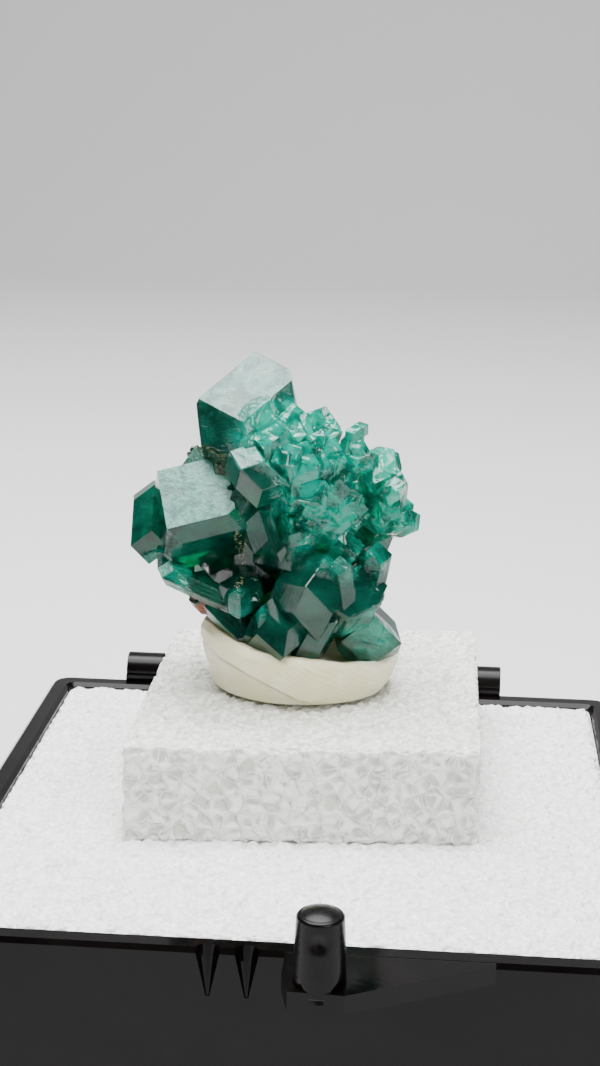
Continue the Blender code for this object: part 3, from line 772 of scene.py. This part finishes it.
def dioptase(zone):
    """Deep green see-through crystal: clouds of colour, turquoise broken regions with whitish cracks that are
    partly painted glints, etched pale faces that are partly painted sheen, an olive region with painted
    glints, a crumb of orange rock, streaks along prism faces and terraces."""
    made, n, shader, out = new_material("dioptase")
    place = n.add("ShaderNodeTexCoord").outputs["Object"]
    growth = n.add("ShaderNodeUVMap", uv_map="growth").outputs["UV"]
    habit = n.add("ShaderNodeAttribute", attribute_name="habit")
    parts = n.add("ShaderNodeSeparateColor", {"Color": habit.outputs["Color"]})
    is_prism, tone, frost_and_sheen = parts.outputs[0], parts.outputs[1], parts.outputs[2]

    def region(centre, radii, ragged=0.35):
        node = n.add("ShaderNodeGroup", node_tree=zone)
        n.feed(node.inputs["Place"], place)
        node.inputs["Centre"].default_value = Vector((centre[0], centre[1], centre[2] + RIM)) * MM
        node.inputs["Radii"].default_value = Vector(radii) * MM
        node.inputs["Ragged"].default_value = ragged
        return node.outputs["Mask"]

    glow = 0.0
    for centre, radii, brightness in BRIGHT_REGIONS:
        glow = n.maths("MAXIMUM", n.maths("MULTIPLY", region(centre, radii), brightness), glow)
    clouds = n.noise(place, 620, 5.0, 0.6)
    mottled = n.noise(place, 2400, 4.0, 0.65)
    grit = n.noise(place, 6500, 3.0, 0.6)
    deep = n.mix(n.fit(clouds, 0.36, 0.66), (0.0002, 0.026, 0.017, 1), (0.0004, 0.12, 0.076, 1))
    deep = n.mix(n.maths("MULTIPLY", tone, 0.35), deep, (0.0003, 0.15, 0.10, 1))
    inner = n.noise(place, 1050, 2.0, 0.5, 0.4)
    bright = n.mix(n.fit(inner, 0.34, 0.62), (0.0002, 0.18, 0.12, 1), (0.0003, 0.58, 0.41, 1))
    body = n.mix(n.maths("MULTIPLY", glow, n.fit(clouds, 0.25, 0.5, 0.5, 1.0)), deep, bright)
    # Partly painted glints: the whitish cracks and froth stand for real fractures and for glints of light on
    # them.
    crack = n.cells(n.bent(place, 900, 0.0016), 950, "DISTANCE_TO_EDGE")
    veins_and_glints = n.maths("MULTIPLY", n.fit(crack, 0.035, 0.0), n.fit(n.noise(place, 800, 3.0), 0.52, 0.62))
    froth_and_glints = n.maths("MULTIPLY", n.fit(mottled, 0.58, 0.68), n.fit(clouds, 0.54, 0.60))
    cracks_and_glints = n.maths("MAXIMUM", n.maths("MULTIPLY", veins_and_glints, n.fit(glow, 0.0, 1.0, 0.12, 0.16)),
                    n.maths("MULTIPLY", froth_and_glints, n.fit(glow, 0.0, 1.0, 0.05, 0.25)))
    body = n.mix(cracks_and_glints, body, (0.10, 0.82, 0.66, 1))
    olive = region(*OLIVE_REGION, 0.3)
    # Painted glints: bright yellowish specks on the dark olive colour stand for light sparkling off small
    # facets.
    olive_with_glints = n.mix(n.fit(grit, 0.50, 0.64), (0.012, 0.045, 0.014, 1), (0.36, 0.36, 0.20, 1))
    body = n.mix(n.maths("MULTIPLY", olive, 0.75), body, olive_with_glints)
    specks = n.maths("MULTIPLY", region(*SPECK_REGION, 0.5), n.fit(grit, 0.56, 0.62))
    body = n.mix(specks, body, (0.72, 0.72, 0.36, 1))
    patchy = n.noise(place, 1500, 3.0, 0.6, 0.8)
    # Pale etched colour, partly real etching and partly painted sheen of the overhead light.
    pale = n.mix(n.fit(patchy, 0.36, 0.62), (0.008, 0.20, 0.15, 1), (0.05, 0.43, 0.335, 1))
    pale = n.mix(n.fit(grit, 0.52, 0.68, 0.0, 0.45), pale, (0.18, 0.60, 0.50, 1))
    # Painted sheen with etching: the pale colour covers each face by its etch and sheen share.
    frost_and_sheen_share = n.maths("MULTIPLY", frost_and_sheen, n.fit(clouds, 0.25, 0.55, 0.5, 0.9))
    body = n.mix(frost_and_sheen_share, body, pale)
    rock = region(MATRIX_CENTRE, tuple(1.2 * radius for radius in MATRIX_RADII), 0.5)
    rusty = n.mix(n.fit(mottled, 0.35, 0.65), (0.22, 0.035, 0.012, 1), (0.62, 0.17, 0.07, 1))
    body = n.mix(rock, body, rusty)
    n.feed(shader.inputs["Base Color"], body)
    rough = n.maths("ADD", n.maths("MULTIPLY", mottled, 0.10), n.maths("MULTIPLY", rock, 0.5))
    rough = n.maths("ADD", rough, n.maths("MULTIPLY", frost_and_sheen_share, n.fit(patchy, 0.35, 0.65, 0.50, 0.30)))
    n.feed(shader.inputs["Roughness"], n.maths("ADD", rough, 0.02))
    stretched = n.add("ShaderNodeMapping", {"Vector": growth, "Scale": (0.5, 9.0, 1.0)}).outputs[0]
    streaks = n.maths("MULTIPLY", n.noise(stretched, 1.0, 3.0), is_prism)
    laid = n.add("ShaderNodeMapping", {"Vector": growth, "Scale": (0.9, 0.55, 1.0)}).outputs[0]
    terraces = n.maths("SNAP", n.noise(laid, 1.0, 1.0, 0.4), 0.09)
    etching = n.maths("ADD", n.maths("MULTIPLY", frost_and_sheen_share, 0.8), 0.15)
    etched = n.maths("MULTIPLY", n.maths("ADD", mottled, grit), etching)
    fine = n.bump(n.maths("ADD", n.maths("MULTIPLY", streaks, 0.5), etched), 0.00004, 0.9)
    stepped = n.bump(terraces, 0.00022, 0.8, fine)
    shell = n.maths("MULTIPLY", n.noise(place, 1150, 2.0, 0.4, 0.9), glow)
    n.feed(shader.inputs["Normal"], n.bump(shell, 0.00034, 0.9, stepped))
    shader.inputs["Transmission Weight"].default_value = 0.6
    shader.inputs["IOR"].default_value = 1.65
    shader.inputs["Specular IOR Level"].default_value = 0.13
    absorb = n.add("ShaderNodeVolumeAbsorption", {"Color": (0.02, 0.84, 0.66, 1), "Density": 1100.0})
    n.feed(out.inputs["Volume"], absorb.outputs[0])
    return made


def foam(name, wall, hollow_shade):
    """White foam: a cut side shows the thin bright walls of its cells, a torn top shows glossy grains. The
    hollows of the cells and the gaps between grains are darkened as painted shade.
    """
    made, n, shader, _ = new_material(name)
    place = n.add("ShaderNodeTexCoord").outputs["Object"]
    grain = n.add("ShaderNodeAttribute", attribute_name="grain").outputs["Fac"]
    facing = n.add("ShaderNodeSeparateXYZ", {0: n.add("ShaderNodeTexCoord").outputs["Normal"]})
    up = n.fit(facing.outputs["Z"], 0.3, 0.8)
    fine = n.noise(place, 5200, 3.0, 0.6)
    bent = n.bent(place, 1000, 0.0006)
    edge = n.cells(bent, 1350, "DISTANCE_TO_EDGE")
    side = n.maths("SUBTRACT", 1.0, up)
    film = n.maths("MULTIPLY", n.fit(edge, 0.14, 0.0), side)
    bowl = n.maths("MULTIPLY", n.fit(edge, 0.0, 0.4), side)
    torn = n.maths("MULTIPLY", n.cells(bent, 2900, "F1"), up)
    # Painted shade: the hollows of the cells and the gaps between grains take the darker colour.
    colour = n.mix(n.fit(grain, 0.1, 0.9), hollow_shade, wall)
    colour = n.mix(n.fit(fine, 0.35, 0.8, 0.0, 0.12), colour, (0.62, 0.63, 0.61, 1))
    # Painted shade: the top is darkened away from the middle of each torn grain, where it is also sunk.
    colour = n.mix(n.fit(torn, 0.35, 0.75, 0.0, 0.45), colour, (0.62, 0.62, 0.60, 1))
    colour = n.mix(n.maths("MULTIPLY", film, 0.9), colour, (0.96, 0.96, 0.94, 1))
    n.feed(shader.inputs["Base Color"], colour)
    n.feed(shader.inputs["Roughness"], n.fit(fine, 0.3, 0.7, 0.28, 0.8))
    raised = n.maths("ADD", n.maths("MULTIPLY", film, 0.6), n.maths("MULTIPLY", fine, 0.25))
    sunk = n.maths("ADD", n.maths("MULTIPLY", torn, 1.5), n.maths("MULTIPLY", bowl, 0.45))
    n.feed(shader.inputs["Normal"], n.bump(n.maths("SUBTRACT", raised, sunk), 0.00018, 1.0))
    shader.inputs["Subsurface Weight"].default_value = 0.35
    shader.inputs["Subsurface Radius"].default_value = (1.0, 1.0, 0.95)
    shader.inputs["Subsurface Scale"].default_value = 0.0012
    return made


def putty_material():
    """Cream putty: soft yellowish clouds and a fine grain."""
    made, n, shader, _ = new_material("mineral tack")
    place = n.add("ShaderNodeTexCoord").outputs["Object"]
    soft = n.noise(place, 420, 3.0)
    fine = n.noise(place, 3600, 4.0, 0.6)
    colour = n.mix(n.fit(soft, 0.35, 0.68), (0.80, 0.75, 0.46, 1), (0.90, 0.87, 0.66, 1))
    colour = n.mix(n.fit(fine, 0.55, 0.85, 0.0, 0.3), colour, (0.6, 0.56, 0.38, 1))
    n.feed(shader.inputs["Base Color"], colour)
    n.feed(shader.inputs["Roughness"], n.fit(fine, 0.2, 0.8, 0.34, 0.62))
    n.feed(shader.inputs["Normal"], n.bump(fine, 0.00003, 0.5))
    shader.inputs["Subsurface Weight"].default_value = 0.3
    shader.inputs["Subsurface Radius"].default_value = (1.0, 0.8, 0.5)
    shader.inputs["Subsurface Scale"].default_value = 0.0012
    return made


def plastic():
    """Black gloss plastic with faint smears, more satin on the knob."""
    made, n, shader, _ = new_material("black plastic")
    place = n.add("ShaderNodeTexCoord").outputs["Object"]
    smear = n.noise(place, 160, 4.0, 0.6, 1.0)
    fine = n.noise(place, 4200, 2.0)
    colour = n.mix(n.fit(smear, 0.3, 0.7), (0.0012, 0.0010, 0.0010, 1), (0.0034, 0.0024, 0.0024, 1))
    n.feed(shader.inputs["Base Color"], colour)
    height = n.add("ShaderNodeSeparateXYZ", {0: place}).outputs["Z"]
    knob = n.fit(height, (RIM + 0.1) * MM, (RIM + 0.6) * MM, 0.0, 0.16)
    gloss = n.maths("ADD", n.fit(smear, 0.3, 0.75, 0.05, 0.14), n.maths("MULTIPLY", fine, 0.03))
    n.feed(shader.inputs["Roughness"], n.maths("ADD", gloss, knob))
    shader.inputs["Specular IOR Level"].default_value = 0.15
    n.feed(shader.inputs["Normal"], n.bump(smear, 0.0001, 0.15))
    return made


def studio(name, colour):
    """Matte pale paper of nearly one tone."""
    made, n, shader, _ = new_material(name)
    place = n.add("ShaderNodeTexCoord").outputs["Object"]
    darker = tuple(0.97 * part for part in colour[:3]) + (1,)
    n.feed(shader.inputs["Base Color"], n.mix(n.noise(place, 12, 2.0), colour, darker))
    shader.inputs["Roughness"].default_value = 0.8
    return made


# stage

def sweep(name, finish):
    """Pale floor that curves up behind the object: a profile of floor, quarter circle and wall, drawn out
    sideways."""
    front, reach, radius, top, half_width = -420.0, 260.0, 120.0, 620.0, 620.0
    arc = np.linspace(0, np.pi / 2, 24)[1:]
    bend = np.column_stack([reach + radius * np.sin(arc), radius * (1 - np.cos(arc))])
    profile = np.concatenate([[(front, 0.0), (reach, 0.0)], bend, [(reach + radius, top)]])
    across = np.linspace(-half_width, half_width, 5)
    points = np.array([[(x, y, z) for y, z in profile] for x in across]).reshape(-1, 3)
    rows = len(profile)
    a = (np.arange(len(across) - 1)[:, None] * rows + np.arange(rows - 1)).ravel()
    quads = np.column_stack([a, a + rows, a + rows + 1, a + 1])
    return mesh_object(name, points, quads, finish)


def softbox(name, place, aim, size, power):
    """A rectangular soft light at place that faces aim."""
    light = bpy.data.lights.new(name, "AREA")
    light.shape = "RECTANGLE"
    light.size, light.size_y = size[0] * MM, size[1] * MM
    light.energy = power
    made = bpy.data.objects.new(name, light)
    made.location = Vector(place) * MM
    made.rotation_euler = (Vector(place) - Vector(aim)).to_track_quat("Z", "Y").to_euler()
    bpy.context.scene.collection.objects.link(made)


def photo_camera():
    """The photo's camera: it looks towards +Y, turned by yaw, tipped down by elevation, then rolled about its
    line of sight."""
    e, yaw, roll = np.radians([CAMERA_ELEVATION, CAMERA_YAW, CAMERA_ROLL])
    ahead = np.array([-np.sin(yaw) * np.cos(e), np.cos(yaw) * np.cos(e), -np.sin(e)])
    right = np.cross(ahead, (0, 0, 1))
    right /= np.linalg.norm(right)
    up = np.cross(right, ahead)
    right, up = np.cos(roll) * right + np.sin(roll) * up, -np.sin(roll) * right + np.cos(roll) * up
    lens = bpy.data.cameras.new("photo camera")
    lens.sensor_fit = "VERTICAL"
    lens.sensor_height = CAMERA_SENSOR
    lens.lens = CAMERA_LENS
    lens.clip_start, lens.clip_end = 0.005, 10.0
    made = bpy.data.objects.new("photo camera", lens)
    place = Matrix(np.column_stack([right, up, -ahead]).tolist()).to_4x4()
    place.translation = Vector(CAMERA_PLACE) * MM
    made.matrix_world = place
    bpy.context.scene.collection.objects.link(made)
    bpy.context.scene.camera = made


def merged_copy(node, name, finish, flat_area):
    """A copy of a CAD node's mesh with its loose triangles merged and its coplanar ones joined. The edges of
    every flat face over flat_area square metres stay sharp, so only the rounded parts are shaded smooth."""
    bend, open_edge = np.radians(26), np.pi
    bm = bmesh.new()
    bm.from_mesh(node.data)
    bmesh.ops.remove_doubles(bm, verts=bm.verts, dist=1e-6)
    bmesh.ops.dissolve_limit(bm, angle_limit=np.radians(0.4), verts=bm.verts, edges=bm.edges)
    for face in bm.faces:
        face.smooth = True
    for edge in bm.edges:
        flat = any(face.calc_area() > flat_area for face in edge.link_faces)
        edge.smooth = bool(not flat and edge.calc_face_angle(open_edge) < bend)
    mesh = bpy.data.meshes.new(name)
    bm.to_mesh(mesh)
    bm.free()
    mesh.materials.clear()
    mesh.materials.append(finish)
    made = bpy.data.objects.new(name, mesh)
    bpy.context.scene.collection.objects.link(made)
    return made


def draw_in_knob(mesh):
    """Draws the solid's own knob in towards its axis and down towards the rim, under the finished one."""
    places = values_of(mesh.vertices, "co", 3) / MM
    arm = places[:, :2] - KNOB_CENTRE
    core = (np.linalg.norm(arm, axis=1) < CORE_REACH) & (places[:, 2] > RIM + CORE_ABOVE)
    places[core, :2] -= CORE_SHRINK * arm[core]
    places[core, 2] = RIM + CORE_LOWERED * (places[core, 2] - RIM)
    mesh.vertices.foreach_set("co", (places * MM).ravel())


# the object

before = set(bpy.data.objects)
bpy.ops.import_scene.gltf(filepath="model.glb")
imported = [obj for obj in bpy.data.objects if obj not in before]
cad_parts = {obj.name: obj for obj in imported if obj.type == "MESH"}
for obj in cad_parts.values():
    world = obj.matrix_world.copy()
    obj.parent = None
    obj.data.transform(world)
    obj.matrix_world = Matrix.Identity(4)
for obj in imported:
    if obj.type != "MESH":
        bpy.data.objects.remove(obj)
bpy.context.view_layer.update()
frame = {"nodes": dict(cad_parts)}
nodes = frame["nodes"]

green = dioptase(zone_group())
cluster = grown_cluster("dioptase_crystals", nodes["dioptase_cluster"].data, green)
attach(cluster, "root")
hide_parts("dioptase_cluster")

tack = putty("pressed_putty", putty_material())
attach(tack, "root")
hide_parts("mineral_tack")

block = foam_solid("cut_foam_block", BLOCK_BASE, BLOCK_TOP, BLOCK_HEIGHTS, BLOCK_SPACING, BLOCK_EDGE,
                   block_relief, foam("cut foam", wall=(0.94, 0.94, 0.90, 1), hollow_shade=(0.66, 0.66, 0.60, 1)))
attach(block, "root")
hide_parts("foam_block")

square = ((-BED_HALF, -BED_HALF), (BED_HALF, -BED_HALF), (BED_HALF, BED_HALF), (-BED_HALF, BED_HALF))
bed = foam_solid("torn_foam_bed", square, square, BED_HEIGHTS, BED_SPACING, BED_EDGE, bed_relief,
                 foam("bed foam", wall=(0.95, 0.95, 0.94, 1), hollow_shade=(0.84, 0.84, 0.83, 1)))
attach(bed, "root")
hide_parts("foam_bed")

black = plastic()
base = merged_copy(nodes["box_base"], "moulded_base", black, flat_area=1.2e-6)
draw_in_knob(base.data)
knob = latch_knob("latch_knob", black)
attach(knob, "root")
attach(base, "root")
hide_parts("box_base")

sweep("floor", studio("pale sweep", (0.62, 0.62, 0.63, 1)))
for light in LIGHTS:
    softbox(*light)
world = bpy.data.worlds.new("studio")
bpy.context.scene.world = world
world.use_nodes = True
world.node_tree.nodes["Background"].inputs["Color"].default_value = (0.80, 0.82, 0.85, 1)
world.node_tree.nodes["Background"].inputs["Strength"].default_value = 0.06
photo_camera()
